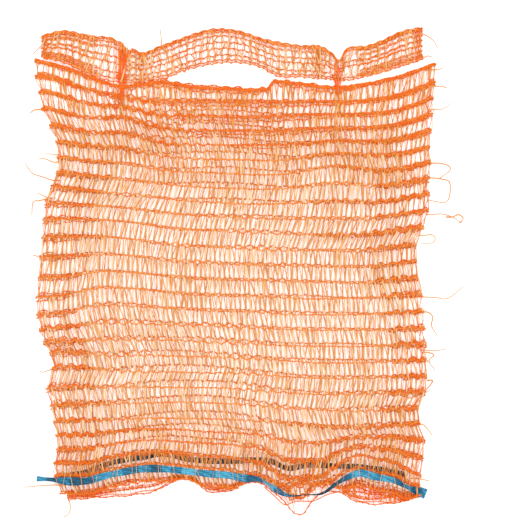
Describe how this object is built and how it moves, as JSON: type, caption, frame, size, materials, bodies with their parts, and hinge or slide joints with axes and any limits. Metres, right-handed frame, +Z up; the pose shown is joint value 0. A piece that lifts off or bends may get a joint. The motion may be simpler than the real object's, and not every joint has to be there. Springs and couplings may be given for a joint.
{
  "type": "mesh produce bag",
  "caption": "Flat, empty warp-knit net bag with a folded net carry handle at its closed end and a draw tape threaded across its open mouth.",
  "frame": {"origin": "middle of the outline, on the surface the bag lies on", "axes": "+X across the bag towards its right side seam, +Y from the open mouth to the carry handle, +Z up out of the front panel"},
  "size_m": [0.356, 0.3852, 0.0096],
  "materials": {
    "chain_yarn": "satin orange polyethylene tape yarn, knitted in chains",
    "inlay_yarn": "fine translucent orange polyethylene yarn laid between the chains",
    "draw_tape": "crumpled blue polypropylene film tape"
  },
  "bodies": {
    "bag": {"back_web": "inlay_yarn", "back_rows": "chain_yarn", "back_mouth_selvage": "chain_yarn", "back_draw_tape": "draw_tape", "back_tape_loops": "chain_yarn", "closed_end_back_web": "inlay_yarn", "closed_end_front_web": "inlay_yarn", "closed_end_rows": "chain_yarn", "closed_end_seam": "chain_yarn", "left_corner_seam": "chain_yarn", "right_corner_seam": "chain_yarn", "left_tack": "chain_yarn", "right_tack": "chain_yarn"},
    "front": {"front_web": "inlay_yarn", "front_rows": "chain_yarn", "front_mouth_selvage": "chain_yarn", "front_tape_loops": "chain_yarn", "left_side_seam": "chain_yarn", "right_side_seam": "chain_yarn", "left_loose_ends": "inlay_yarn", "right_loose_ends": "inlay_yarn"},
    "drawtape": {"front_draw_tape": "draw_tape"},
    "handle": {"handle_front_web": "inlay_yarn", "handle_front_rows": "chain_yarn", "handle_back_web": "inlay_yarn", "handle_back_rows": "chain_yarn", "handle_fold_edge": "chain_yarn", "handle_left_end_stitch": "chain_yarn", "handle_right_end_stitch": "chain_yarn", "left_pleat_stitch": "chain_yarn", "right_pleat_stitch": "chain_yarn"}
  },
  "joints": [
    {"name": "mouth_opening", "type": "hinge", "parent": "bag", "child": "front", "pos_m": [0, 0.12565, 0.0019], "axis": [-1, 0, 0], "range_deg": [0, 12]},
    {"name": "tape_pull", "type": "slide", "parent": "front", "child": "drawtape", "axis": [1, 0, 0], "range_m": [-0.01, 0.01]},
    {"name": "handle_lift", "type": "hinge", "parent": "bag", "child": "handle", "pos_m": [0, 0.14505, 0.0012], "axis": [1, 0, 0], "range_deg": [0, 110]}
  ]
}
